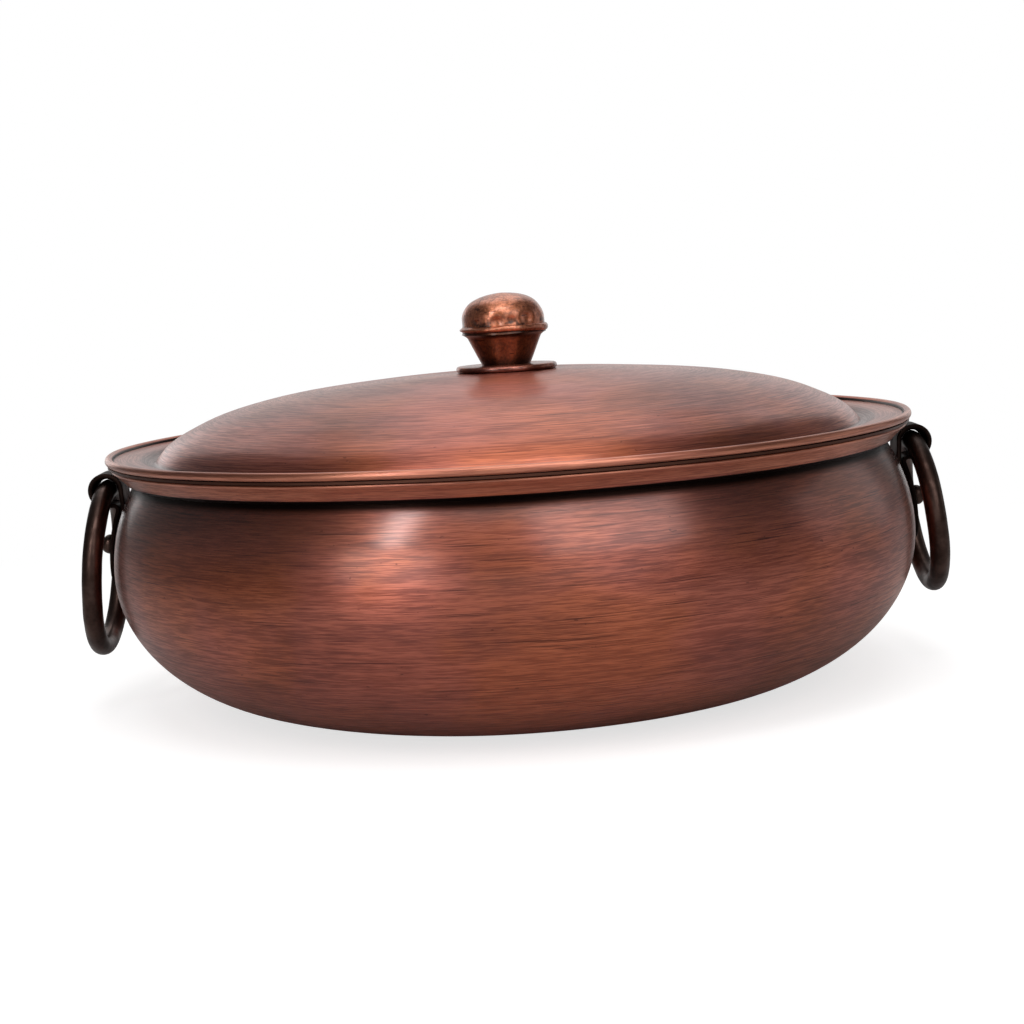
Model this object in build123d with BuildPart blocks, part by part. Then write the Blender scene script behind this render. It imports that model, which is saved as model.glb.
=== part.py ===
"""Round copper chafing dish: water pot, food pan, domed lid with a knob, and two hanging ring handles.

Millimetres. The origin is on the table at the middle of the pot's base, +Z points up and +X along the
line through the two ring handles.
"""

from build123d import *
from math import asin, cos, degrees, radians, sin, sqrt
import os

os.makedirs("parts", exist_ok=True)

# Pot
pot_height = 105.0
belly_radius = 169.8
base_radius = 94.8
shoulder_radius = 68.8
neck_rise = 37.0
neck_drop = 8.0
pot_wall = 1.2
lip_ledge = 3.0
lip_flare = 9.0
lip_drop = 6.1
lip_land = 1.6
lip_edge_round = 0.5

# Food pan
pan_depth = 61.0
pan_sheet = 0.8
pan_neck_clearance = 2.0
pan_taper = 9.6
pan_corner = 18.0
pan_flange_bend = 3.0
pan_flange_sheet = 0.95
pan_flange_overhang = 0.9
resting_gap = 0.25

# Lid
lid_overhang = 1.9
lid_sheet = 1.0
bead_radius = 1.6
bead_gap = 0.3
edge_wire_radius = 0.95
edge_wire_clearance = 0.05
brim_drop = 1.75
brim_width = 19.9
brim_flat = 8.0
brim_slope_run = 14.6
brim_slope_drop = 0.6
brim_slope = 16.0
gutter_drop = 4.5
gutter_set_in = 0.8
foot_rise = 0.9
foot_set_in = 1.1
foot_slope = 57.0
crown_height = 29.0

# Dome points: distance in from the foot, drop below the crown, slope in degrees
dome_points = (
    (90.0, 1.9, 5.0),
    (46.0, 7.2, 11.5),
    (19.5, 15.0, 25.0),
    (3.1, 25.4, 52.0),
)

# Knob
knob_plate_radius = 21.5
knob_plate_thick = 2.6
knob_plate_round = 1.15
knob_sheet = 1.0
cone_foot_radius = 10.0
cone_top_radius = 14.6
cone_height = 11.8
cone_flare = 2.4
cone_flare_slope = 24.0
cone_lip_rise = 0.9
cap_radius = 17.5
cap_height = 15.5
cap_wall_height = 4.5
cap_turn_radius = 13.0
cap_turn_drop = 2.9
cap_turn_slope = 31.0
seam_radius = 18.7
seam_height = 2.4

# Knob fastening
stud_radius = 2.5
stud_head_radius = 4.6
stud_head_height = 3.2
stud_head_round = 1.3
stud_hole_clearance = 0.2
nut_bore_clearance = 0.05
washer_radius = 6.5
washer_thick = 1.0
washer_seat_gap = 0.05
spring_washer_radius = 4.6
spring_washer_thick = 1.2
spring_washer_split = 0.8
nut_flats = 8.0
nut_thick = 4.0
stud_tail = 1.5

# Ring handles and their brackets
ring_bar = 8.4
ring_outer = {"left": 76.0, "right": 70.0}
ring_reach = 6.8
eye_stand_off = 2.8
eye_drop = 11.5
eye_slack = 0.45
strap_sheet = 1.8
strap_width = 16.0
strap_tail_drop = 54.0
strap_seat_gap = 0.05

# Bracket rivets
rivet_drop = 36.0
rivet_head_radius = 4.2
rivet_head_height = 4.4
rivet_head_round = 3.1
rivet_shank_radius = 2.2
rivet_hole_clearance = 0.05
burr_radius = 5.6
burr_thick = 1.0
rivet_set_radius = 3.6
rivet_set_height = 1.3

# Sizes that follow from these
neck_height = pot_height - neck_drop
belly_height = neck_height - neck_rise
shoulder_centre = belly_radius - shoulder_radius
belly_run = belly_radius - base_radius
neck_radius = shoulder_centre + sqrt(shoulder_radius**2 - neck_rise**2)
neck_bore = shoulder_centre + sqrt((shoulder_radius - pot_wall) ** 2 - neck_rise**2)
lip_radius = neck_radius + lip_flare
flange_under = pot_height + resting_gap
flange_top = flange_under + pan_flange_sheet
lid_radius = lip_radius + lid_overhang
bead_circle = lid_radius - bead_radius
bead_height = flange_top + bead_gap + bead_radius
brim_top = bead_height + bead_radius - brim_drop
foot_radius = lid_radius - brim_width
crown = pot_height + crown_height
plate_top = crown + knob_plate_thick
seam_level = plate_top + cone_height + cone_flare
strap_thick = 2 * strap_sheet
eye_radius = belly_radius + eye_stand_off
eye_height = pot_height - eye_drop
rivet_seat = strap_seat_gap + strap_thick
burr_seat = pot_wall + burr_radius**2 / (2 * (shoulder_radius - pot_wall))
rivet_level = pot_height - rivet_drop
rivet_tilt = asin((rivet_level - belly_height) / shoulder_radius)
SIDES = {"left": -1, "right": 1}


def belly_curve(offset):
    """Half outline of the pot's side from base to neck, moved outwards by an offset."""
    reach = shoulder_radius + offset
    neck_angle = degrees(asin(neck_rise / reach))
    side = EllipticalCenterArc(
        (base_radius, belly_height), belly_run + offset, belly_height + offset, 270, arc_size=90
    )
    shoulder = CenterArc((shoulder_centre, belly_height), reach, 0, neck_angle)
    return side, shoulder


def body_radius(height, offset=0.0):
    """Radius of the pot's outer face at a height on the shoulder, moved outwards by an offset."""
    return shoulder_centre + sqrt((shoulder_radius + offset) ** 2 - (height - belly_height) ** 2)


def side_plane(side, distance):
    """Plane square to the pot's wall at a bracket's rivet, a distance out from the wall."""
    out = (side * cos(rivet_tilt), 0, sin(rivet_tilt))
    reach = shoulder_radius + distance
    spot = (side * (shoulder_centre + reach * cos(rivet_tilt)), 0, belly_height + reach * sin(rivet_tilt))
    return Plane(origin=spot, x_dir=(0, 1, 0), z_dir=out)


def sheet_curve(points, depth):
    """Spline through points given as radius, height and downward slope, sunk square to the slope."""
    knots = []
    directions = []
    for radius, height, slope in points:
        turn = radians(slope)
        knots.append((radius - depth * sin(turn), height - depth * cos(turn)))
        directions.append((cos(turn), -sin(turn)))
    return Spline(*knots, tangents=directions)


def export_piece(solid, name):
    """Label one finished piece and write it to its own file."""
    solid.label = name
    export_step(solid, f"parts/{name}.step")


# Pot: one spun sheet with a folded, flared lip
with BuildPart() as pot_body:
    with BuildSketch(Plane.XZ):
        with BuildLine():
            Line((0, 0), (base_radius, 0))
            outer_side, outer_shoulder = belly_curve(0)
            Polyline(
                outer_shoulder @ 1,
                (neck_radius + lip_ledge, pot_height - lip_drop),
                (lip_radius, pot_height - lip_edge_round),
                (lip_radius - lip_edge_round, pot_height),
                (lip_radius - lip_edge_round - lip_land, pot_height),
                (neck_bore, neck_height + pot_wall),
                (neck_bore, neck_height),
            )
            inner_side, inner_shoulder = belly_curve(-pot_wall)
            Line((base_radius, pot_wall), (0, pot_wall))
            Line((0, pot_wall), (0, 0))
        make_face()
    revolve(axis=Axis.Z)
    for side in SIDES.values():
        with BuildSketch(side_plane(side, 0)):
            Circle(rivet_shank_radius + rivet_hole_clearance)
        extrude(amount=2 * pot_wall, both=True, mode=Mode.SUBTRACT)
export_piece(pot_body.part, "pot_body")

# Food pan: drawn sheet hung in the pot by its flange
pan_mouth = neck_bore - pan_neck_clearance
pan_floor = flange_under - pan_depth
pan_floor_radius = pan_mouth - pan_taper
flange_radius = lip_radius + pan_flange_overhang
with BuildPart() as food_pan:
    with BuildSketch(Plane.XZ):
        with BuildLine():
            FilletPolyline(
                (0, pan_floor),
                (pan_floor_radius, pan_floor),
                (pan_mouth, flange_under),
                (flange_radius, flange_under),
                radius=[pan_corner, pan_flange_bend - pan_flange_sheet],
            )
            Line((flange_radius, flange_under), (flange_radius, flange_top))
            FilletPolyline(
                (flange_radius, flange_top),
                (pan_mouth - pan_sheet, flange_top),
                (pan_floor_radius - pan_sheet, pan_floor + pan_sheet),
                (0, pan_floor + pan_sheet),
                radius=[pan_flange_bend, pan_corner - pan_sheet],
            )
            Line((0, pan_floor + pan_sheet), (0, pan_floor))
        make_face()
    revolve(axis=Axis.Z)
export_piece(food_pan.part, "food_pan")

# Lid: spun dome, gutter and flat brim, its edge rolled over a wire
lid_points = [(0, crown, 0)]
for inset, drop, slope in dome_points:
    lid_points.append((foot_radius - inset, crown - drop, slope))
lid_points += [
    (foot_radius - foot_set_in, bead_height + bead_radius - gutter_drop + foot_rise, foot_slope),
    (foot_radius + gutter_set_in, bead_height + bead_radius - gutter_drop, 0),
    (lid_radius - brim_slope_run, brim_top - brim_slope_drop, -brim_slope),
    (lid_radius - brim_flat, brim_top, 0),
    (bead_circle - bead_radius, brim_top, 0),
]
with BuildPart() as lid_shell:
    with BuildSketch(Plane.XZ):
        with BuildLine():
            top = sheet_curve(lid_points, 0)
            under = sheet_curve(lid_points, lid_sheet)
            Line(top @ 0, under @ 0)
            Polyline(top @ 1, (bead_circle, brim_top), (bead_circle, brim_top - lid_sheet), under @ 1)
        make_face()
        with Locations((bead_circle, bead_height)):
            Circle(bead_radius)
            Circle(edge_wire_radius + edge_wire_clearance, mode=Mode.SUBTRACT)
    revolve(axis=Axis.Z)
    with Locations((0, 0, crown)):
        Cylinder(stud_radius + stud_hole_clearance, 4 * lid_sheet, mode=Mode.SUBTRACT)
export_piece(lid_shell.part, "lid_shell")

with BuildPart() as lid_edge_wire:
    with Locations((0, 0, bead_height)):
        Torus(bead_circle, edge_wire_radius)
export_piece(lid_edge_wire.part, "lid_edge_wire")

# Knob: a plate, a hollow cone and a hollow cap whose edge is crimped over the cone's flange
with BuildPart() as knob_plate:
    with BuildSketch(Plane.XY.offset(crown)):
        Circle(knob_plate_radius)
        Circle(stud_radius + stud_hole_clearance, mode=Mode.SUBTRACT)
    extrude(amount=knob_plate_thick)
    rims = knob_plate.edges().filter_by(GeomType.CIRCLE).sort_by(SortBy.RADIUS)[-2:]
    fillet(rims, knob_plate_round)
export_piece(knob_plate.part, "knob_plate")

with BuildPart() as knob_cone:
    cone_turn = plate_top + cone_height
    cone_side = (cone_top_radius - cone_foot_radius, cone_height)
    flare_end = (cos(radians(cone_flare_slope)), sin(radians(cone_flare_slope)))
    with BuildSketch(Plane.XZ):
        with BuildLine():
            outer_flare = Spline(
                (cone_top_radius, cone_turn),
                (seam_radius - knob_sheet, seam_level),
                tangents=[cone_side, flare_end],
            )
            inner_flare = Spline(
                (cone_top_radius - knob_sheet, cone_turn),
                (seam_radius - 2 * knob_sheet, seam_level + cone_lip_rise),
                tangents=[cone_side, flare_end],
            )
            Line(outer_flare @ 1, inner_flare @ 1)
            Polyline(
                inner_flare @ 0,
                (cone_foot_radius - knob_sheet, plate_top + knob_sheet),
                (stud_radius + stud_hole_clearance, plate_top + knob_sheet),
                (stud_radius + stud_hole_clearance, plate_top),
                (cone_foot_radius, plate_top),
                outer_flare @ 0,
            )
        make_face()
    revolve(axis=Axis.Z)
export_piece(knob_cone.part, "knob_cone")

with BuildPart() as knob_cap:
    cap_foot = seam_level + 0.5 * seam_height
    cap_top = cap_foot + cap_height
    cap_turn = radians(cap_turn_slope)
    with BuildSketch(Plane.XZ) as cap_half:
        with BuildLine():
            wall_line = Line((cap_radius, cap_foot), (cap_radius, cap_foot + cap_wall_height))
            shoulder_line = Spline(
                wall_line @ 1,
                (cap_turn_radius, cap_top - cap_turn_drop),
                (0, cap_top),
                tangents=[(0, 1), (-cos(cap_turn), sin(cap_turn)), (-1, 0)],
            )
            Polyline(shoulder_line @ 1, (0, cap_foot), wall_line @ 0)
        make_face()
    revolve(axis=Axis.Z)
    openings = knob_cap.faces().sort_by(Axis.Z)[0]
    offset(amount=-knob_sheet, openings=openings)
    with BuildSketch(Plane.XZ):
        with Locations((seam_radius - seam_height / 2, seam_level + seam_height / 2)):
            Circle(seam_height / 2)
    revolve(axis=Axis.Z)
    add(knob_cone.part, mode=Mode.SUBTRACT)
export_piece(knob_cap.part, "knob_cap")

# Knob fastening: a headed stud from inside the cone, clamped under the lid
stud_seat = plate_top + knob_sheet
washer_top = crown - lid_sheet - washer_seat_gap
nut_top = washer_top - washer_thick - spring_washer_thick
stud_end = nut_top - nut_thick - stud_tail
with BuildPart() as knob_stud:
    with BuildSketch(Plane.XY.offset(stud_end)):
        Circle(stud_radius)
    extrude(amount=stud_seat - stud_end)
    with BuildSketch(Plane.XY.offset(stud_seat)):
        Circle(stud_head_radius)
    extrude(amount=stud_head_height)
    fillet(knob_stud.edges().sort_by(Axis.Z)[-1], stud_head_round)
export_piece(knob_stud.part, "knob_stud")

with BuildPart() as knob_washer:
    with BuildSketch(Plane.XY.offset(washer_top - washer_thick)):
        Circle(washer_radius)
        Circle(stud_radius + stud_hole_clearance, mode=Mode.SUBTRACT)
    extrude(amount=washer_thick)
export_piece(knob_washer.part, "knob_washer")

with BuildPart() as knob_spring_washer:
    with BuildSketch(Plane.XY.offset(nut_top)):
        Circle(spring_washer_radius)
        Circle(stud_radius + stud_hole_clearance, mode=Mode.SUBTRACT)
        with Locations((spring_washer_radius, 0)):
            Rectangle(2 * spring_washer_radius, spring_washer_split, mode=Mode.SUBTRACT)
    extrude(amount=spring_washer_thick)
export_piece(knob_spring_washer.part, "knob_spring_washer")

with BuildPart() as knob_nut:
    with BuildSketch(Plane.XY.offset(nut_top - nut_thick)):
        RegularPolygon(nut_flats / 2, 6, major_radius=False)
        Circle(stud_radius + nut_bore_clearance, mode=Mode.SUBTRACT)
    extrude(amount=nut_thick)
export_piece(knob_nut.part, "knob_nut")


def make_bracket(side):
    """Strap folded double round the ring's bar, its two leaves bent down the pot's side."""
    ring_radius = min(ring_outer.values()) / 2 - ring_bar / 2
    bar_sag = ring_radius - sqrt(ring_radius**2 - (strap_width / 2) ** 2)
    eye_bore = ring_bar / 2 + bar_sag + eye_slack
    leaf_top = eye_height + strap_sheet
    tail = pot_height - strap_tail_drop
    with BuildPart() as bracket:
        with BuildSketch(Plane.XZ):
            with BuildLine():
                belly_curve(strap_seat_gap)
                belly_curve(strap_seat_gap + strap_thick)
                seat_neck = body_radius(neck_height, strap_seat_gap)
                face_neck = body_radius(neck_height, strap_seat_gap + strap_thick)
                Line((seat_neck, neck_height), (face_neck, neck_height))
                Line((base_radius, -strap_seat_gap), (base_radius, -strap_seat_gap - strap_thick))
            make_face()
        revolve(axis=Axis.Z)
        with BuildSketch(Plane.YZ):
            with Locations((0, (leaf_top + tail + strap_width / 2) / 2)):
                Rectangle(strap_width, leaf_top - tail - strap_width / 2)
            with Locations((0, tail + strap_width / 2)):
                Circle(strap_width / 2)
        extrude(amount=belly_radius + 2 * strap_thick, mode=Mode.INTERSECT)
        with BuildSketch(Plane.XZ):
            leaf_start = body_radius(eye_height - strap_sheet, strap_seat_gap + strap_sheet)
            with Locations(((leaf_start + eye_radius) / 2, eye_height)):
                Rectangle(eye_radius - leaf_start, strap_thick)
            with Locations((eye_radius, eye_height)):
                Circle(eye_bore + strap_sheet)
        extrude(amount=strap_width / 2, both=True)
        with BuildSketch(Plane.XZ):
            with Locations((eye_radius, eye_height)):
                Circle(eye_bore)
        extrude(amount=strap_width, both=True, mode=Mode.SUBTRACT)
        with BuildSketch(side_plane(1, 0)):
            Circle(rivet_shank_radius + rivet_hole_clearance)
        extrude(amount=2 * rivet_seat, both=True, mode=Mode.SUBTRACT)
    return bracket.part if side > 0 else mirror(bracket.part, about=Plane.YZ)


def make_ring(side, outer):
    """Round bar ring threaded through its bracket's eye, standing off the belly at its foot."""
    ring_radius = (outer - ring_bar) / 2
    lean = asin(ring_reach / (2 * ring_radius))
    centre = (
        side * (eye_radius + ring_radius * sin(lean)),
        0,
        eye_height - ring_radius * cos(lean),
    )
    with BuildPart(Plane(origin=centre, x_dir=(0, 1, 0), z_dir=(side * cos(lean), 0, sin(lean)))) as ring:
        Torus(ring_radius, ring_bar / 2)
    return ring.part


def make_rivet(side):
    """Rivet through both leaves and the pot's wall: domed head outside, hammered set inside."""
    with BuildPart() as rivet:
        with BuildSketch(side_plane(side, -burr_seat - burr_thick)):
            Circle(rivet_shank_radius)
        extrude(amount=burr_seat + burr_thick + rivet_seat)
        with BuildSketch(side_plane(side, rivet_seat)):
            Circle(rivet_head_radius)
        extrude(amount=rivet_head_height)
        head_edge = rivet.edges().filter_by(GeomType.CIRCLE).sort_by(Axis.X)[-1 if side > 0 else 0]
        fillet(head_edge, rivet_head_round)
        with BuildSketch(side_plane(side, -burr_seat - burr_thick - rivet_set_height)):
            Circle(rivet_set_radius)
        extrude(amount=rivet_set_height)
    return rivet.part


def make_burr(side):
    """Washer under the rivet's hammered end, inside the pot."""
    with BuildPart() as burr:
        with BuildSketch(side_plane(side, -burr_seat - burr_thick)):
            Circle(burr_radius)
            Circle(rivet_shank_radius + rivet_hole_clearance, mode=Mode.SUBTRACT)
        extrude(amount=burr_thick)
    return burr.part


for side_name, side in SIDES.items():
    export_piece(make_bracket(side), f"bracket_{side_name}")
    export_piece(make_ring(side, ring_outer[side_name]), f"ring_{side_name}")
    export_piece(make_rivet(side), f"rivet_{side_name}")
    export_piece(make_burr(side), f"rivet_burr_{side_name}")
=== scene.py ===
"""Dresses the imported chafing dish: hand-spun copper, its knob, its ring handles, the table and the light.

Metres, in the part's own frame: the origin is under the middle of the pot's base, +Z up, +X along the rings.
"""

import bmesh
import bpy
from collections import namedtuple
from math import asin, cos, hypot, pi, radians, sin, sqrt, tan
from mathutils import Euler, Matrix, Vector, noise


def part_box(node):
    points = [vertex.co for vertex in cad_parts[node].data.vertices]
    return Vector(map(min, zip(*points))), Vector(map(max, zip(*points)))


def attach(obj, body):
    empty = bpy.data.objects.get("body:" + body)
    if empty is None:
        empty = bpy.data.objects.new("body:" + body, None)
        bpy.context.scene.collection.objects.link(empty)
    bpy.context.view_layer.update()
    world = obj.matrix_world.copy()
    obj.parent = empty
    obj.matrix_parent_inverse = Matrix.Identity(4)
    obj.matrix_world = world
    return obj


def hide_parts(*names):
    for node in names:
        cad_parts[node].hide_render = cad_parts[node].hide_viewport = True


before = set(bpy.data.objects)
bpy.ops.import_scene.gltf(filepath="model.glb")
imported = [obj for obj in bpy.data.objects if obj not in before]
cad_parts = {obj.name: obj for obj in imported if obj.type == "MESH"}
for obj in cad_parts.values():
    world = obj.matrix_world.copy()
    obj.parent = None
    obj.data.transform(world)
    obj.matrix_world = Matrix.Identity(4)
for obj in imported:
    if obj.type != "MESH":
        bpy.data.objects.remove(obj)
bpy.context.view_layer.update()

# Sizes of the pot
POT_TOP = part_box("pot_body")[1].z
BELLY_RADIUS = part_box("pot_body")[1].x
BELLY_HEIGHT = 0.060
BASE_RADIUS = 0.0948
SHOULDER_RADIUS = 0.0688
NECK_DROP = 0.008
POT_WALL = 0.0012
NECK_HEIGHT = POT_TOP - NECK_DROP
SHOULDER_CENTRE = BELLY_RADIUS - SHOULDER_RADIUS
BASE_RINGS = (0.0, 0.35, 0.7)

# Sizes of the pot's lip: steps are outwards and up, from the ledge's corner and from the edge's centre
LIP_RADIUS = 0.1680
LIP_DROP = 0.0061
LIP_LEDGE = 0.0030
LIP_LAND = 0.0021
LIP_ROUND = 0.0006
LIP_ARRIS = 0.0003
LEDGE_TURN = ((-0.0007, -0.0006), (0.0001, -0.0004), (0.0005, 0.0003))
FLARE_END = (-0.0010, -0.0013)
THROAT_EASE = 0.0006

# Sizes of the lid
LID_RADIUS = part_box("lid_shell")[1].x
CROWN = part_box("lid_shell")[1].z
LID_SHEET = 0.0010
BEAD_RADIUS = 0.0016
BEAD_CIRCLE = LID_RADIUS - BEAD_RADIUS
BEAD_HEIGHT = 0.1081
BRIM_TOP = 0.10795

# The lid's upper face from the crown to the brim: radius, height and downward slope in degrees
LID_STATIONS = [
    (0.0, CROWN, 0.0),
    (0.0600, CROWN - 0.0019, 5.0),
    (0.1040, CROWN - 0.0072, 11.5),
    (0.1305, CROWN - 0.0150, 25.0),
    (0.1469, CROWN - 0.0254, 52.0),
    (0.1489, CROWN - 0.0279, 57.0),
    (0.1508, CROWN - 0.0288, 0.0),
    (0.1553, BRIM_TOP - 0.0006, -16.0),
    (0.1619, BRIM_TOP, 0.0),
]

# Sizes of the knob: its plate, its stem and its cap
PLATE_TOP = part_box("knob_plate")[1].z
PLATE_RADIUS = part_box("knob_plate")[1].x
PLATE_ROUND = 0.00115
KNOB_SHEET = 0.0010
STEM_FOOT = 0.0092
STEM_TOP = 0.0146
STEM_HEIGHT = 0.0118
FLANGE_RADIUS = 0.0176
FLANGE_SLOPE = -24.0
SEAM_LEVEL = 0.1508
SEAM_TUBE = 0.0012
SEAM_PROUD = 0.0001
SEAM_JOIN = 1.15
CAP_RADIUS = 0.0175
CAP_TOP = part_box("knob_cap")[1].z
CAP_WALL_TOP = 0.1565
CAP_TURN_RADIUS = 0.0130
CAP_TURN_DROP = 0.0029
CAP_TURN_SLOPE = 31.0

# How the knob is out of true: its lean and shift, the cap's sag and sunken crown, and its uneven seam
KNOB_LEAN = radians(1.2)
KNOB_SHIFT = 0.0013
CAP_SAG = 0.0013
CAP_SINK = 0.0006
SEAM_TAPER = 0.38
SEAM_REACH = 1.1 * SEAM_TUBE
SEAM_BLEND = 0.4 * SEAM_TUBE

# Dents in the knob's cap: azimuth from the front, height, reach and depth
CAP_DENTS = (
    (-38, 0.1545, 0.0032, 0.0007),
    (-8, 0.1552, 0.0035, 0.0009),
    (12, 0.1556, 0.0028, 0.0006),
    (36, 0.1560, 0.0042, 0.0012),
    (110, 0.1560, 0.0040, 0.0008),
    (200, 0.1570, 0.0045, 0.0009),
)

# Sizes of the ring handles and the eyes that hold them
RING_BAR = 0.0084
RING_REACH = 0.0068
EYE_RADIUS = 0.1726
EYE_HEIGHT = 0.0935
EYE_BORE = 0.0057
EYE_PLAY = 0.00035
EYE_SKIN = 0.0006

# Sizes of the straps: the leaves are rounded below the leaf top and inside the leaf reach
STRAP_SHEET = 0.0018
STRAP_WIDTH = 0.0160
STRAP_SEAT = 0.00005
STRAP_TAIL = 0.0510
STRAP_BEND = 0.0018
STRAP_SHAVE = 0.0001
STRAP_ARRIS = 0.00035
STRAP_ROWS = 8
INNER_LEAF_TOP = 0.086
BEND_GAP = 0.0008
LEAF_TOP = 0.0845
LEAF_REACH = 0.1745
TAIL_MARGIN = 1.03

# Sizes of the rivets: the set is the hammered end, as radius and depth below the inside level
RIVET_LEVEL = 0.0690
RIVET_HEAD = 0.0042
RIVET_HEAD_HEIGHT = 0.0044
RIVET_HEAD_ROUND = 0.0031
RIVET_HEAD_FOOT = (0.0003, 0.0004)
RIVET_TIP = 0.0001
RIVET_SHANK = 0.0022
RIVET_INSIDE = -0.0014
RIVET_SET = ((0, 0.0023), (0.0020, 0.0023), (0.0034, 0.0018), (0.0036, 0.0010), (RIVET_SHANK, 0.0010))

# The two handles, and which way along X each one lies
SIDES = {"left": -1, "right": 1}

# Waves that handwork leaves in the pieces: depth, span and seed
SHEET_WAVE = (0.00014, 0.055, 3.0)
CAP_WAVE = (0.00040, 0.012, 8.0)
STEM_WAVE = (0.00018, 0.011, 5.0)
PLATE_WAVE = (0.00012, 0.014, 2.0)
RING_WAVE = (0.00020, 0.020, 6.0)
RING_RIPPLE = (0.00006, 0.005, 1.0)
STRAP_WAVE = (0.00005, 0.006, 4.0)
RIVET_WAVE = (0.00022, 0.0035, 7.0)

# The waves come out the same each run, because Blender would otherwise seed their field by the clock
noise.seed_set(1)

# How finely the pieces are made
VESSEL_STEPS = 256
KNOB_STEPS = 160
RIVET_STEPS = 48
SMOOTH_ANGLE = radians(38)
WELD_REACH = 1e-6
CHAIN_START = 0.001

# Copper, from rubbed bright over middle to oxide
COPPER_TONES = ((0.61, 0.180, 0.100), (0.37, 0.101, 0.058), (0.17, 0.053, 0.039))
CAP_TONES = ((0.78, 0.29, 0.18), (0.50, 0.165, 0.082), (0.15, 0.052, 0.030))
STEM_TONES = ((0.34, 0.120, 0.052), (0.20, 0.062, 0.030), (0.08, 0.027, 0.017))
DISC_TONES = ((0.58, 0.190, 0.110), (0.34, 0.098, 0.056), (0.15, 0.047, 0.030))

# Colours of creases (painted shade in most, oxide and stains in some), the pan flange's brown band, rubbed
# edges
CREASE_OXIDE_AND_SHADE = (0.018, 0.008, 0.006)
FLANGE_BROWN = (0.12, 0.050, 0.034)
# Rubbed copper, which on the pot's lip also stands for a painted reflection
RUBBED_AND_REFLECTED_COPPER = (0.74, 0.29, 0.18)

# Slow drifts of the patina's colour, in casts over the copper and in patches to the metre
PLUM_CAST = (0.97, 0.98, 1.16)
ORANGE_CAST = (1.03, 1.00, 0.88)
HUE_SCALE = 22.0
HUE_RANGE = (0.38, 0.62)

# Layers of streaks: turns and density against the material's own, then wander, seed and detail
Layer = namedtuple("Layer", "turns density wander seed detail")
LONG_STREAKS = Layer(1.0, 1.0, 0.0010, 0.0, 3.0)
FINE_STREAKS = Layer(2.5, 2.6, 0.0006, 40.0, 2.0)
DARK_LINES = Layer(0.6, 3.0, 0.0008, 71.0, 1.5)
TARNISH_CLOUDS = Layer(1.0, 1.0, 0.012, 9.0, 2.5)

# How the groups work: slow drift to the metre, the streaks' noise, and the noise that makes a fleck
DRIFT_SCALE = 16.0
NOISE_MIDDLE = 0.5
STREAK_ROUGHNESS = 0.62
FLECK_LIMIT = 0.80
FLECK_SPAN = 0.25
FLECK_EDGE = 0.06

# How the layers mix: shares, the noise that each is spread from, and how dark each makes the copper
LONG_SHARE = 0.42
FINE_SHARE = 0.58
RUB_RANGE = (0.40, 0.61)
TARNISH_RANGE = (0.40, 0.62)
TARNISH_DEPTH = 0.6
FLECK_AMOUNT = 0.3
FLECK_DEPTH = 0.6
FLECK_SHADE = 0.5
LINE_RANGE = (0.60, 0.70)
LINE_DEPTH = 0.85
LINE_SHADE = 0.6
# How bright a rubbed band gets along the streaks; on the pot's lip this is also a painted reflection
EDGE_RUB_AND_REFLECTION = (0.35, 0.85)

# Grime spots to the metre, and how far a matt crease takes the lacquer away
SPOT_SCALE = 210.0
SPOT_RANGE = (0.44, 0.56)
MATT_DEPTH = 0.85

# Gloss and relief of the copper: roughness from dull to rubbed, and what tarnish adds
COPPER_GLOSS = (0.43, 0.37)
TARNISH_DULL = 0.04
COPPER_RELIEF = {"Strength": 0.38, "Distance": 0.00010}
COPPER_SHEEN = {"Anisotropic": 0.65, "Anisotropic Rotation": 0.25, "Coat Roughness": 0.20, "Coat IOR": 1.6}

# Clouds, gloss and relief of the plain metals
METAL_CLOUDS = (0.35, 0.68)
METAL_GLOSS = 0.06
METAL_RELIEF = {"Strength": 0.3, "Distance": 0.0002}

# Inputs and output of a Mix node that are colours
MIX_LOW = 6
MIX_HIGH = 7
MIX_RESULT = 2

# The room: its own dim light, the floor's size and shade, and where it fades to white for the camera
ROOM_DIM = 0.09
FLOOR_RADIUS = 9.0
FLOOR_GREY = 0.62
FLOOR_LIFT = 0.70
FLOOR_NEAR = 0.24
FLOOR_FAR = 0.60

# Soft boxes: azimuth, elevation, distance, width and height, radiance; they all look at one point
LIGHT_AIM = (0, 0, 0.08)
STUDIO = {
    "key box": (-33, 35, 1.1, (0.12, 0.42), 7.5),
    "key skirt": (-33, 13, 1.2, (0.5, 0.42), 1.7),
    "right box": (28, 33, 1.4, (0.92, 0.74), 1.35),
    "right skirt": (26, 12, 1.4, (0.8, 0.4), 0.35),
    "low front": (0, 2, 1.7, (2.2, 0.5), 0.5),
    "overhead strip": (0, 90, 1.42, (1.0, 3.2), 0.55),
    "front top": (5, 62, 1.5, (0.9, 0.5), 1.8),
    "right wall": (106, 8, 2.0, (1.4, 1.2), 0.28),
    "left rear": (-150, 2, 2.0, (0.7, 0.9), 0.5),
    "right rear": (150, 4, 2.0, (0.7, 0.9), 0.12),
    "white backdrop": (180, 16, 2.0, (2.6, 1.6), 0.46),
    "high backdrop": (180, 52, 2.0, (2.2, 1.3), 0.46),
}

# The photograph's view: lens and sensor in millimetres, angles in degrees
VIEW_LENS = 69.85
VIEW_SENSOR = 36.0
VIEW_DISTANCE = 0.850
VIEW_HEIGHT = 0.17562
VIEW_PITCH = 6.891
VIEW_PAN = -0.0187
VIEW_ROLL = -3.52


def arc(centre, radii, start, end, count):
    """Points along part of an ellipse in the half section, angles in degrees from outwards towards up."""
    points = []
    for index in range(count + 1):
        turn = radians(start + (end - start) * index / count)
        points.append((centre[0] + radii[0] * cos(turn), centre[1] + radii[1] * sin(turn)))
    return points


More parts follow.
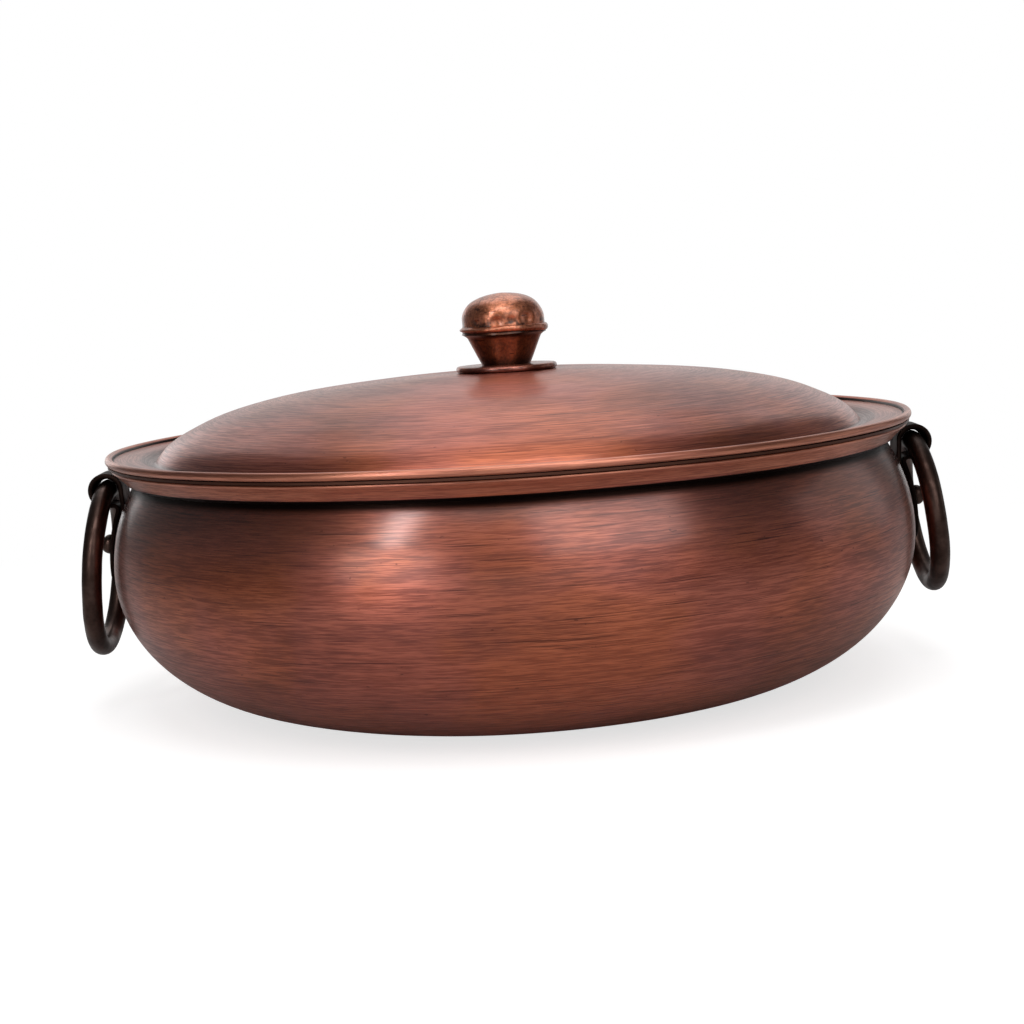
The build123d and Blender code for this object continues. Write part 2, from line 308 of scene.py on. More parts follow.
def sweep_curve(stations, count):
    """Points of a smooth curve through stations given as radius, height and downward slope in degrees."""
    points = [stations[0][:2]]
    for (r0, z0, s0), (r1, z1, s1) in zip(stations, stations[1:]):
        span = hypot(r1 - r0, z1 - z0)
        for index in range(1, count + 1):
            t = index / count
            start, end = (1 + 2 * t) * (1 - t) ** 2, t * t * (3 - 2 * t)
            leave, arrive = span * t * (1 - t) ** 2, span * t * t * (t - 1)
            points.append((
                start * r0 + end * r1 + leave * cos(radians(s0)) + arrive * cos(radians(s1)),
                start * z0 + end * z1 - leave * sin(radians(s0)) - arrive * sin(radians(s1)),
            ))
    return points


def sink(stations, depth):
    """The same stations, moved square to their slope by a sheet's thickness."""
    return [(r - depth * sin(radians(s)), z - depth * cos(radians(s)), s) for r, z, s in stations]


def straight_wall(radius, start, end, count):
    """Evenly spaced points up or down an upright wall."""
    return [(radius, start + (end - start) * step / count) for step in range(count + 1)]


def wall_radius(height, offset=0.0):
    """Radius of the pot's outer face at a height, moved outwards by an offset."""
    if height < BELLY_HEIGHT:
        fall = (BELLY_HEIGHT - height) / (BELLY_HEIGHT + offset)
        return BASE_RADIUS + (BELLY_RADIUS - BASE_RADIUS + offset) * sqrt(1 - fall * fall)
    return SHOULDER_CENTRE + sqrt((SHOULDER_RADIUS + offset) ** 2 - (height - BELLY_HEIGHT) ** 2)


def belly_points(offset, low, high, count):
    """Points up the pot's side between two heights, moved outwards by an offset."""
    heights = [low + (high - low) * step / count for step in range(count + 1)]
    return [(wall_radius(height, offset), height) for height in heights]


def draw_chain(points, closed=False):
    """Draw a half section as one chain of edges, extruded point by point from a single corner."""
    bpy.ops.object.select_all(action="DESELECT")
    bpy.ops.mesh.primitive_plane_add(size=CHAIN_START)
    bpy.ops.object.mode_set(mode="EDIT")
    bpy.ops.mesh.merge(type="CENTER")
    here = (0.0, 0.0)
    for number, point in enumerate(points):
        step = {"value": (point[0] - here[0], 0, point[1] - here[1])}
        if number:
            bpy.ops.mesh.extrude_region_move(TRANSFORM_OT_translate=step)
        else:
            bpy.ops.transform.translate(**step)
        here = point
    if closed:
        mesh = bmesh.from_edit_mesh(bpy.context.object.data)
        mesh.verts.ensure_lookup_table()
        mesh.verts[0].select_set(True)
        mesh.verts[-1].select_set(True)
        bpy.ops.mesh.edge_face_add()


def close_up(name):
    """Weld the seams and poles of the open mesh, turn its faces outwards, and leave it shaded smooth."""
    bpy.ops.mesh.select_all(action="SELECT")
    bpy.ops.mesh.remove_doubles(threshold=WELD_REACH)
    bpy.ops.mesh.normals_make_consistent(inside=False)
    bpy.ops.object.mode_set(mode="OBJECT")
    piece = bpy.context.object
    piece.name = piece.data.name = name
    bpy.ops.object.shade_smooth_by_angle(angle=SMOOTH_ANGLE)
    return piece


def spin_piece(name, outline, steps, closed=False):
    """Spin a half section once round the upright axis, as a sheet is spun over its former."""
    draw_chain(outline, closed)
    bpy.ops.mesh.select_all(action="SELECT")
    bpy.ops.mesh.spin(steps=steps, angle=2 * pi, center=(0, 0, 0), axis=(0, 0, 1))
    return close_up(name)


def hand_work(piece, wave, side=0):
    """Let a piece waver by a smooth field, so that no face is as true as a machine's."""
    depth, span, seed = wave
    shift = Vector([seed + side] * 3)
    for vertex in piece.data.vertices:
        vertex.co += depth * noise.noise_vector(vertex.co / span + shift)


def press_dent(piece, azimuth, height, reach, depth):
    """Press one round dent towards the knob's axis; azimuth 0 faces the front, 90 the right."""
    turn = radians(azimuth)
    out = Vector((sin(turn), -cos(turn), 0))
    place = out * CAP_RADIUS + Vector((0, 0, height))
    for vertex in piece.data.vertices:
        away = (vertex.co - place).length / reach
        if away < 1:
            vertex.co -= out * depth * (1 - away * away) ** 2


def lean_knob(piece):
    """Set a piece of the knob a little off the middle and lean it to the left, as it was soldered on."""
    for vertex in piece.data.vertices:
        vertex.co.x += KNOB_SHIFT - tan(KNOB_LEAN) * max(0.0, vertex.co.z - PLATE_TOP)


def sag_cap(cap):
    """Let the cap's left shoulder sag, and pinch its crimped seam thin on the left and full on the right."""
    middle = SEAM_LEVEL + SEAM_TUBE
    for vertex in cap.data.vertices:
        place = vertex.co
        side = place.x / CAP_RADIUS
        if place.z > CAP_WALL_TOP:
            sag = CAP_SAG * min(side, 0) - CAP_SINK
            place.z += sag * (place.z - CAP_WALL_TOP) / (CAP_TOP - CAP_WALL_TOP)
        beyond = (hypot(place.x, place.y) - CAP_RADIUS) / SEAM_BLEND
        if abs(place.z - middle) < SEAM_REACH and beyond > 0:
            place.z = middle + (place.z - middle) * (1 + SEAM_TAPER * side * min(1.0, beyond))


def make_pot():
    """The water pot: one spun sheet, flat base, round belly, pinched neck and folded flaring lip."""
    def side(offset):
        neck_turn = asin((NECK_HEIGHT - BELLY_HEIGHT) / (SHOULDER_RADIUS + offset)) * 180 / pi
        belly = (BELLY_RADIUS - BASE_RADIUS + offset, BELLY_HEIGHT + offset)
        round_side = arc((BASE_RADIUS, BELLY_HEIGHT), belly, start=-90, end=0, count=34)
        centre = (SHOULDER_CENTRE, BELLY_HEIGHT)
        shoulder = arc(centre, [SHOULDER_RADIUS + offset] * 2, start=0, end=neck_turn, count=14)
        return round_side + shoulder[1:]

    inside = list(reversed(side(-POT_WALL)))
    bore = inside[0][0]
    ledge = (wall_radius(NECK_HEIGHT) + LIP_LEDGE, POT_TOP - LIP_DROP)
    edge = (LIP_RADIUS - LIP_ROUND, POT_TOP - LIP_ROUND)
    land = LIP_RADIUS - LIP_ROUND - LIP_LAND
    lip = [
        *[(ledge[0] + out, ledge[1] + up) for out, up in LEDGE_TURN],
        (edge[0] + FLARE_END[0], edge[1] + FLARE_END[1]),
        *arc(edge, [LIP_ROUND] * 2, start=-38, end=90, count=7),
        (land + LIP_ARRIS, POT_TOP),
        (land, POT_TOP - LIP_ARRIS),
        (bore + THROAT_EASE, NECK_HEIGHT + 2 * POT_WALL),
        (bore, NECK_HEIGHT + POT_WALL),
    ]
    base = [(BASE_RADIUS * share, 0.0) for share in BASE_RINGS]
    floor = [(BASE_RADIUS * share, POT_WALL) for share in reversed(BASE_RINGS)]
    pot = spin_piece("pot_shell", base + side(0) + lip + inside + floor, VESSEL_STEPS)
    hand_work(pot, SHEET_WAVE)
    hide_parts("pot_body")
    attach(pot, "pot")
    return pot


def make_lid():
    """The lid: spun dome, gutter, flat brim and an edge rolled round its wire into a bead."""
    above = sweep_curve(LID_STATIONS, count=9)
    below = sweep_curve(sink(LID_STATIONS, LID_SHEET), count=9)
    bead = arc((BEAD_CIRCLE, BEAD_HEIGHT), [BEAD_RADIUS] * 2, start=185, end=-134, count=34)
    lid = spin_piece("lid_dome", above + bead + list(reversed(below)), VESSEL_STEPS)
    hand_work(lid, SHEET_WAVE)
    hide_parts("lid_shell")
    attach(lid, "lid")
    return lid


def spin_plate():
    """The knob's thick round plate, its edge rounded over."""
    middle = (CROWN + PLATE_TOP) / 2
    half = (PLATE_TOP - CROWN) / 2
    rim = PLATE_RADIUS - PLATE_ROUND
    under = [(rim * share, CROWN) for share in (0, 0.5, 1)]
    over = [(rim * share, PLATE_TOP) for share in (1, 0.8, 0.5, 0)]
    edge = arc((rim, middle), (PLATE_ROUND, half), start=-70, end=70, count=12)
    return spin_piece("knob_disc", under + edge + over, KNOB_STEPS)


def spin_stem():
    """The knob's sheet stem: a cone that widens upwards and turns out into a flange."""
    slope = -180 / pi * asin(STEM_HEIGHT / hypot(STEM_TOP - STEM_FOOT, STEM_HEIGHT))
    stations = [
        (STEM_FOOT, PLATE_TOP, slope),
        (STEM_TOP, PLATE_TOP + STEM_HEIGHT, slope),
        (FLANGE_RADIUS, SEAM_LEVEL, FLANGE_SLOPE),
    ]
    outer = sweep_curve(stations, count=12)
    inner = sweep_curve(sink(stations, KNOB_SHEET), count=12)
    return spin_piece("knob_stem", outer + list(reversed(inner)), KNOB_STEPS, closed=True)


def spin_cap():
    """The knob's dented cap: a low crown, an upright wall and a seam crimped round the stem's flange."""
    seam_height = SEAM_LEVEL + SEAM_TUBE
    crown = [
        (0.0, CAP_TOP, 0.0),
        (CAP_TURN_RADIUS, CAP_TOP - CAP_TURN_DROP, CAP_TURN_SLOPE),
        (CAP_RADIUS, CAP_WALL_TOP, 90.0),
    ]
    cap = spin_piece("knob_cap_bun", [
        *sweep_curve(crown, count=20),
        *straight_wall(CAP_RADIUS, CAP_WALL_TOP, seam_height + SEAM_JOIN * SEAM_TUBE, count=6),
        *arc((CAP_RADIUS + SEAM_PROUD, seam_height), [SEAM_TUBE] * 2, start=62, end=-100, count=16),
        *straight_wall(CAP_RADIUS - KNOB_SHEET, SEAM_LEVEL + KNOB_SHEET, CAP_WALL_TOP, count=6),
        *reversed(sweep_curve(sink(crown, KNOB_SHEET), count=20)[:-1]),
    ], KNOB_STEPS)
    for dent in CAP_DENTS:
        press_dent(cap, *dent)
    sag_cap(cap)
    return cap


def make_knob():
    """The knob: a thick plate, a sheet stem and a planished cap crimped over the stem's flange."""
    plate, stem, cap = spin_plate(), spin_stem(), spin_cap()
    hand_work(cap, CAP_WAVE)
    hand_work(stem, STEM_WAVE)
    hand_work(plate, PLATE_WAVE)
    for piece, node in ((plate, "knob_plate"), (stem, "knob_cone"), (cap, "knob_cap")):
        lean_knob(piece)
        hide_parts(node)
        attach(piece, "lid")
    return plate, stem, cap


def make_ring(side_name):
    """A forged round-bar ring that hangs in its strap's eye and stands off the belly at its foot."""
    side = SIDES[side_name]
    low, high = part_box(f"ring_{side_name}")
    ring_radius = (high.y - low.y - RING_BAR) / 2
    lean = asin(RING_REACH / (2 * ring_radius))
    centre = (side * (EYE_RADIUS + ring_radius * sin(lean)), 0, EYE_HEIGHT - ring_radius * cos(lean))
    bpy.ops.object.select_all(action="DESELECT")
    bpy.ops.mesh.primitive_torus_add(
        major_radius=ring_radius, minor_radius=RING_BAR / 2, major_segments=168, minor_segments=36,
        location=centre, rotation=(0, side * (pi / 2 - lean), 0))
    bpy.ops.object.transform_apply()
    bpy.ops.object.mode_set(mode="EDIT")
    ring = close_up(f"{side_name}_ring_handle")
    hand_work(ring, RING_WAVE, side)
    hand_work(ring, RING_RIPPLE, side)
    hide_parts(f"ring_{side_name}")
    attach(ring, f"{side_name}_ring")
    return ring


def close_eye(strap, ring_box):
    """Hammer the eye's inside close round the bar, wider to both sides as the ring's own curve asks."""
    ring_radius = (ring_box[1].y - ring_box[0].y - RING_BAR) / 2
    for vertex in strap.data.vertices:
        place = vertex.co
        away = hypot(place.x - EYE_RADIUS, place.z - EYE_HEIGHT)
        if away < EYE_BORE + EYE_SKIN:
            close = RING_BAR / 2 + EYE_PLAY + place.y ** 2 / (2 * ring_radius)
            pull = min(1.0, close / away)
            place.x = EYE_RADIUS + (place.x - EYE_RADIUS) * pull
            place.z = EYE_HEIGHT + (place.z - EYE_HEIGHT) * pull


def round_tail(strap):
    """Round the tail of both leaves and lay them to the pot's curve across their width."""
    reach = STRAP_WIDTH / 2 * TAIL_MARGIN
    top = STRAP_TAIL + reach
    for vertex in strap.data.vertices:
        place = vertex.co
        if place.z < LEAF_TOP and place.x < LEAF_REACH:
            offset = place.x - wall_radius(place.z)
            if place.z < top:
                place.z = top - (top - place.z) * sqrt(1 - (place.y / reach) ** 2)
            place.x = sqrt((wall_radius(place.z) + offset) ** 2 - place.y ** 2)


def thicken(piece, thickness, edge):
    """Give a sheet its thickness about its middle, then ease its edges."""
    bpy.ops.object.select_all(action="DESELECT")
    bpy.context.view_layer.objects.active = piece
    piece.select_set(True)
    solid = piece.modifiers.new("Thickness", "SOLIDIFY")
    solid.thickness = thickness
    solid.offset = 0
    ease = piece.modifiers.new("Edges", "BEVEL")
    ease.width = edge
    ease.segments = 3
    ease.angle_limit = radians(50)
    for modifier in (solid, ease):
        bpy.ops.object.modifier_apply(modifier=modifier.name)
    bpy.ops.object.shade_smooth_by_angle(angle=SMOOTH_ANGLE)


def mirror_left(piece):
    """Turn a piece that was made for the right into the left one."""
    for vertex in piece.data.vertices:
        vertex.co.x *= -1
    bpy.ops.object.mode_set(mode="EDIT")
    bpy.ops.mesh.select_all(action="SELECT")
    bpy.ops.mesh.flip_normals()
    bpy.ops.object.mode_set(mode="OBJECT")


def make_strap(side_name):
    """A strap folded over the ring's bar, both its leaves lying down the pot's side to a round tail."""
    inner = STRAP_SEAT + STRAP_SHEET / 2
    outer = inner + STRAP_SHEET
    wrap = EYE_BORE + STRAP_SHEET / 2
    bend_height = EYE_HEIGHT - wrap - STRAP_BEND
    bend_centre = (wall_radius(bend_height, outer) + STRAP_BEND, bend_height)
    inner_leaf = belly_points(inner, STRAP_TAIL, INNER_LEAF_TOP, count=14)
    hood = arc((EYE_RADIUS, EYE_HEIGHT), [wrap] * 2, start=178, end=-94, count=30)
    turn_down = arc(bend_centre, [STRAP_BEND] * 2, start=92, end=176, count=6)
    outer_leaf = list(reversed(belly_points(outer, STRAP_TAIL, bend_height - BEND_GAP, count=14)))
    draw_chain(inner_leaf + hood + turn_down + outer_leaf)
    bpy.ops.mesh.select_all(action="SELECT")
    bpy.ops.transform.translate(value=(0, -STRAP_WIDTH / 2, 0))
    row = {"value": (0, STRAP_WIDTH / STRAP_ROWS, 0)}
    for _ in range(STRAP_ROWS):
        bpy.ops.mesh.extrude_region_move(TRANSFORM_OT_translate=row)
    strap = close_up(f"{side_name}_strap")
    round_tail(strap)
    thicken(strap, STRAP_SHEET - STRAP_SHAVE, STRAP_ARRIS)
    close_eye(strap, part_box(f"ring_{side_name}"))
    if side_name == "left":
        mirror_left(strap)
    hand_work(strap, STRAP_WAVE)
    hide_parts(f"bracket_{side_name}")
    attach(strap, "pot")
    return strap


def make_rivet(side_name):
    """A rivet with a tall rounded head, its shank and its hammered set inside the pot."""
    side = SIDES[side_name]
    tilt = asin((RIVET_LEVEL - BELLY_HEIGHT) / SHOULDER_RADIUS)
    seat = STRAP_SEAT + 2 * STRAP_SHEET
    dome = (RIVET_HEAD - RIVET_HEAD_ROUND, seat + RIVET_HEAD_HEIGHT - RIVET_HEAD_ROUND)
    outline = [
        *[(radius, RIVET_INSIDE - depth) for radius, depth in RIVET_SET],
        (RIVET_SHANK, seat),
        (RIVET_HEAD - RIVET_HEAD_FOOT[0], seat),
        (RIVET_HEAD, seat + RIVET_HEAD_FOOT[1]),
        *arc(dome, [RIVET_HEAD_ROUND] * 2, start=0, end=90, count=12),
        (0, seat + RIVET_HEAD_HEIGHT + RIVET_TIP),
    ]
    rivet = spin_piece(f"{side_name}_rivet_head", outline, RIVET_STEPS)
    hand_work(rivet, RIVET_WAVE, side)
    turn = Matrix.Rotation(side * (pi / 2 - tilt), 4, "Y")
    out = SHOULDER_CENTRE + SHOULDER_RADIUS * cos(tilt)
    spot = Vector((side * out, 0, BELLY_HEIGHT + SHOULDER_RADIUS * sin(tilt)))
    rivet.data.transform(Matrix.Translation(spot) @ turn)
    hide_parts(f"rivet_{side_name}")
    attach(rivet, "pot")
    return rivet


class Nodes:
    """Short ways to lay nodes in one material or group."""

    def __init__(self, tree):
        self.tree = tree

    def fill(self, node, inputs):
        """Link the sockets among some inputs and set the values."""
        for key, value in inputs.items():
            if isinstance(value, bpy.types.NodeSocket):
                self.tree.links.new(value, node.inputs[key])
            else:
                node.inputs[key].default_value = value

    def add(self, kind, inputs=None, **settings):
        """Add one node with its settings and its inputs."""
        node = self.tree.nodes.new(kind)
        for key, value in settings.items():
            setattr(node, key, value)
        self.fill(node, inputs or {})
        return node

    def math(self, operation, *values):
        """One Math node; values are numbers or sockets."""
        return self.add("ShaderNodeMath", dict(enumerate(values)), operation=operation).outputs[0]

    def vector(self, operation, *values, output="Vector", **extra):
        """One Vector Math node."""
        inputs = {**dict(enumerate(values)), **extra}
        return self.add("ShaderNodeVectorMath", inputs, operation=operation).outputs[output]

    def spread(self, value, low, high, to_low=0.0, to_high=1.0):
        """Map a range of a value smoothly onto another, clamped."""
        inputs = {"Value": value, "From Min": low, "From Max": high, "To Min": to_low, "To Max": to_high}
        return self.add("ShaderNodeMapRange", inputs, interpolation_type="SMOOTHSTEP").outputs[0]

    def tint(self, factor, low, high, mode="MIX"):
        """Mix two colours, given as three numbers or as sockets, by a factor."""
        node = self.add("ShaderNodeMix", {"Factor": factor}, data_type="RGBA", blend_type=mode)
        for key, colour in ((MIX_LOW, low), (MIX_HIGH, high)):
            self.fill(node, {key: (*colour, 1) if isinstance(colour, tuple) else colour})
        return node.outputs[MIX_RESULT]

    def noise(self, vector, scale, detail=2.0, roughness=0.5, w=None):
        """A noise value; four-dimensional where w is given."""
        inputs = {"Vector": vector, "Scale": scale, "Detail": detail, "Roughness": roughness}
        if w is not None:
            inputs["W"] = w
        kind = "3D" if w is None else "4D"
        return self.add("ShaderNodeTexNoise", inputs, noise_dimensions=kind).outputs["Fac"]

    def place(self):
        """The place on the piece, in the part's own frame."""
        return self.add("ShaderNodeTexCoord").outputs["Object"]

    def turned_place(self, place):
        """A place without its height, its distance from the axis, and its height."""
        flat = self.vector("MULTIPLY", place, (1, 1, 0))
        height = self.add("ShaderNodeSeparateXYZ", {0: place}).outputs["Z"]
        return flat, self.vector("LENGTH", flat, output="Value"), height

    def brushed_noise(self, flat, across, up, given, detail, roughness):
        """Noise drawn out round the axis, with the turns and the seed that a group was given."""
        around = self.vector("SCALE", self.vector("NORMALIZE", flat), Scale=given["Turns"])
        spot = self.vector("ADD", around, self.add("ShaderNodeCombineXYZ", {"Z": across}).outputs[0])
        return self.noise(spot, 1.0, detail, roughness, w=self.math("ADD", up, given["Seed"]))


def start_group(name, inputs, output):
    """Start a shader node group with named inputs and one output."""
    group = bpy.data.node_groups.new(name, "ShaderNodeTree")
    for title, default in inputs.items():
        socket = group.interface.new_socket(title, in_out="INPUT", socket_type="NodeSocketFloat")
        socket.default_value = default
    group.interface.new_socket(output, in_out="OUTPUT", socket_type="NodeSocketFloat")
    nodes = Nodes(group)
    return group, nodes, nodes.add("NodeGroupInput").outputs, nodes.add("NodeGroupOutput")


def make_streak_group():
    """Streaks that run round the axis, as brushing on the lathe leaves them."""
    inputs = {"Turns": 6.0, "Density": 600.0, "Wander": 0.001, "Seed": 0.0, "Detail": 3.0}
    group, nodes, given, result = start_group("Lathe streaks", inputs, "Streaks")
    place = nodes.place()
    flat, radius, height = nodes.turned_place(place)
    drift = nodes.math("SUBTRACT", nodes.noise(place, DRIFT_SCALE), NOISE_MIDDLE)
    drift = nodes.math("MULTIPLY", drift, given["Wander"])
    across = nodes.math("MULTIPLY", nodes.math("ADD", radius, drift), given["Density"])
    up = nodes.math("MULTIPLY", nodes.math("ADD", height, drift), given["Density"])
    streaks = nodes.brushed_noise(flat, across, up, given, given["Detail"], STREAK_ROUGHNESS)
    nodes.fill(result, {"Streaks": streaks})
    return group


def make_fleck_group():
    """Small pits and flecks of oxide, drawn out along the brushing."""
    inputs = {"Turns": 60.0, "Density": 700.0, "Amount": 0.3, "Seed": 0.0}
    group, nodes, given, result = start_group("Oxide flecks", inputs, "Flecks")
    flat, radius, height = nodes.turned_place(nodes.place())
    across = nodes.math("MULTIPLY", radius, given["Density"])
    up = nodes.math("MULTIPLY", height, given["Density"])
    grain = nodes.brushed_noise(flat, across, up, given, detail=1.0, roughness=0.5)
    limit = nodes.math("SUBTRACT", FLECK_LIMIT, nodes.math("MULTIPLY", given["Amount"], FLECK_SPAN))
    nodes.fill(result, {"Flecks": nodes.spread(grain, limit, nodes.math("ADD", limit, FLECK_EDGE))})
    return group


def make_band_group():
    """A soft-edged band between two heights (Kind 0) or between two radii (Kind 1)."""
    inputs = {"Kind": 0.0, "Low": 0.0, "Full low": 0.0, "Full high": 1.0, "High": 1.0}
    group, nodes, given, result = start_group("Turned band", inputs, "Inside")
    _, radius, height = nodes.turned_place(nodes.place())
    by_radius = nodes.math("MULTIPLY", given["Kind"], nodes.math("SUBTRACT", radius, height))
    along = nodes.math("ADD", height, by_radius)
    rise = nodes.spread(along, given["Low"], given["Full low"])
    fall = nodes.spread(along, given["Full high"], given["High"], 1.0, 0.0)
    nodes.fill(result, {"Inside": nodes.math("MULTIPLY", rise, fall)})
    return group


STREAKS = make_streak_group()
FLECKS = make_fleck_group()
BANDS = make_band_group()


def height_band(low, full_low, full_high, high):
    """Inputs for a band between heights; each end fades from none to full."""
    return {"Kind": 0, "Low": low, "Full low": full_low, "Full high": full_high, "High": high}


def radius_band(low, full_low, full_high, high):
    """Inputs for a band between radii; each end fades from none to full."""
    return {"Kind": 1, "Low": low, "Full low": full_low, "Full high": full_high, "High": high}


# Bands on the pot: painted shade under the lip, oxide and painted shadow in the neck's crease,
# the lip rubbed bare with a painted reflection, and lacquer on the shoulder
NECK_END = (NECK_HEIGHT + 0.0014, NECK_HEIGHT + 0.0018)
NECK_PAINTED_SHADE = height_band(NECK_HEIGHT - 0.0200, NECK_HEIGHT - 0.0020, *NECK_END)
# The neck's crease: partly oxide, partly painted shadow under the lip
NECK_OXIDE_AND_SHADOW = height_band(NECK_HEIGHT - 0.0042, NECK_HEIGHT - 0.0010, *NECK_END)
# The lip's band is lightened: partly rubbed bare, partly a painted reflection
LIP_RUB_AND_REFLECTION = height_band(POT_TOP - 0.0062, POT_TOP - 0.0050, POT_TOP, POT_TOP + 0.0010)
SHOULDER_LACQUER = height_band(
    NECK_HEIGHT - 0.0380, NECK_HEIGHT - 0.0080, NECK_HEIGHT, NECK_HEIGHT + 0.0020)

# Bands on the lid and the pan: painted shade in the groove inside the bead, the bead rubbed bare,
# painted shade in the gutter, and a brown band on the pan's flange
BEAD_INSIDE = BEAD_CIRCLE - BEAD_RADIUS
BEAD_CREASE_SHADE = radius_band(
    BEAD_INSIDE - 0.0009, BEAD_INSIDE - 0.0003, BEAD_INSIDE + 0.0001, BEAD_INSIDE + 0.0004)
BEAD_RUB = radius_band(BEAD_CIRCLE - 0.0008, BEAD_CIRCLE - 0.0002, LID_RADIUS + 0.0010, LID_RADIUS + 0.0020)
GUTTER_SHADE = radius_band(0.1480, 0.1492, 0.1530, 0.1580)
PAN_LIP = radius_band(0.1600, 0.1640, 0.1800, 0.1810)

# Bands on the knob: painted shade on the lower half of the plate's rim, darker at the stem's foot and top,
# and stains above the seam
PLATE_RIM_SHADE = height_band(CROWN - 0.0020, CROWN - 0.0010, CROWN + 0.0004, PLATE_TOP - 0.0005)
STEM_FOOT_DARKENING = height_band(PLATE_TOP - 0.0003, PLATE_TOP - 0.0001, PLATE_TOP + 0.0006, PLATE_TOP + 0.0050)
STEM_TOP_DARKENING = height_band(
    SEAM_LEVEL - 0.0035, SEAM_LEVEL - 0.0012, SEAM_LEVEL + 0.0004, SEAM_LEVEL + 0.0010)
SEAM_GRIME = height_band(SEAM_LEVEL + 0.0021, SEAM_LEVEL + 0.0026, SEAM_LEVEL + 0.0034, SEAM_LEVEL + 0.0068)

# A crease: where it is, how deep it darkens the copper, whether that is spotted, and whether it has no
# lacquer
Crease = namedtuple("Crease", "band depth spotted matt", defaults=(False, False))


def start_material(name, metallic=1.0):
    """A material with a node helper and its Principled shader."""
    material = bpy.data.materials.new(name)
    material.use_nodes = True
    shader = material.node_tree.nodes["Principled BSDF"]
    shader.inputs["Metallic"].default_value = metallic
    return material, Nodes(material.node_tree), shader


def place_group(nodes, group, **values):
    """Place a shared group in a material with its own values."""
    return nodes.add("ShaderNodeGroup", values, node_tree=group).outputs[0]


def place_streaks(nodes, brushing, layer):
    """Place one layer of streaks on a material that is brushed with its own turns and density."""
    return place_group(
        nodes, STREAKS, Turns=brushing[0] * layer.turns, Density=brushing[1] * layer.density,
        Wander=layer.wander, Seed=layer.seed, Detail=layer.detail)


def patinate(nodes, tones, brushing, rub, tarnish):
    """Colour of the copper: bright where rubbed, brown in patches, with flecks, thin dark lines and casts."""
    bright, middle, oxide = tones
    colour = nodes.tint(
        nodes.math("MULTIPLY", tarnish, TARNISH_DEPTH),
        nodes.tint(rub, middle, bright),
        nodes.tint(rub, oxide, middle))
    flecks = nodes.math("MULTIPLY", place_group(nodes, FLECKS, Amount=FLECK_AMOUNT), FLECK_DEPTH)
    colour = nodes.tint(flecks, colour, tuple(FLECK_SHADE * c for c in oxide))
    lines = nodes.spread(place_streaks(nodes, brushing, DARK_LINES), *LINE_RANGE)
    lines = nodes.math("MULTIPLY", lines, LINE_DEPTH)
    colour = nodes.tint(lines, colour, tuple(LINE_SHADE * c for c in oxide))
    hue = nodes.spread(nodes.noise(nodes.place(), HUE_SCALE, detail=2.5), *HUE_RANGE)
    return nodes.tint(1.0, colour, nodes.tint(hue, PLUM_CAST, ORANGE_CAST), mode="MULTIPLY")


def make_copper(name, tones, brushing, patches, creases=(), lacquer=(0.42, 0.42), rubbed=None):
    """Brushed antique copper under lacquer: rubbed bright along the streaks, brown in patches, dark in
    creases.

    Brushing and patches are turns and density of their streaks. Lacquer is its weight off and on the pot's
    shoulder. Creases are darkened with painted shade in most and with oxide and stains in some. Rubbed is a
    band lightened along the streaks: bare on the lid's bead, and bare with a painted reflection on the
    pot's lip.
    """
    material, nodes, shader = start_material(name)
    rub = nodes.math(
        "ADD",
        nodes.math("MULTIPLY", place_streaks(nodes, brushing, LONG_STREAKS), LONG_SHARE),
        nodes.math("MULTIPLY", place_streaks(nodes, brushing, FINE_STREAKS), FINE_SHARE))
    rub = nodes.spread(rub, *RUB_RANGE)
    tarnish = nodes.spread(place_streaks(nodes, patches, TARNISH_CLOUDS), *TARNISH_RANGE)
    colour = patinate(nodes, tones, brushing, rub, tarnish)
    # A rubbed band is lightened along the streaks; on the pot's lip that is also a painted reflection
    if rubbed:
        bare_and_reflection = nodes.spread(rub, 0.0, 1.0, *EDGE_RUB_AND_REFLECTION)
        edge = nodes.math("MULTIPLY", place_group(nodes, BANDS, **rubbed), bare_and_reflection)
        colour = nodes.tint(edge, colour, RUBBED_AND_REFLECTED_COPPER)
    coat = nodes.spread(place_group(nodes, BANDS, **SHOULDER_LACQUER), 0.0, 1.0, *lacquer)
    # Creases darken the copper: painted shade in most, oxide and stains in some
    for crease in creases:
        inside = nodes.math("MULTIPLY", place_group(nodes, BANDS, **crease.band), crease.depth)
        if crease.spotted:
            spots = nodes.spread(nodes.noise(nodes.place(), SPOT_SCALE), *SPOT_RANGE)
            inside = nodes.math("MULTIPLY", inside, spots)
        colour = nodes.tint(inside, colour, CREASE_OXIDE_AND_SHADE)
        if crease.matt:
            left = nodes.math("SUBTRACT", 1.0, nodes.math("MULTIPLY", inside, MATT_DEPTH))
            coat = nodes.math("MULTIPLY", coat, left)
    gloss = nodes.spread(rub, 0.0, 1.0, *COPPER_GLOSS)
    gloss = nodes.math("ADD", gloss, nodes.math("MULTIPLY", tarnish, TARNISH_DULL))
    relief = nodes.add("ShaderNodeBump", {"Height": rub, **COPPER_RELIEF}).outputs[0]
    nodes.fill(shader, {"Base Color": colour, "Roughness": gloss, "Coat Weight": coat, "Normal": relief})
    nodes.fill(shader, COPPER_SHEEN)
    return material


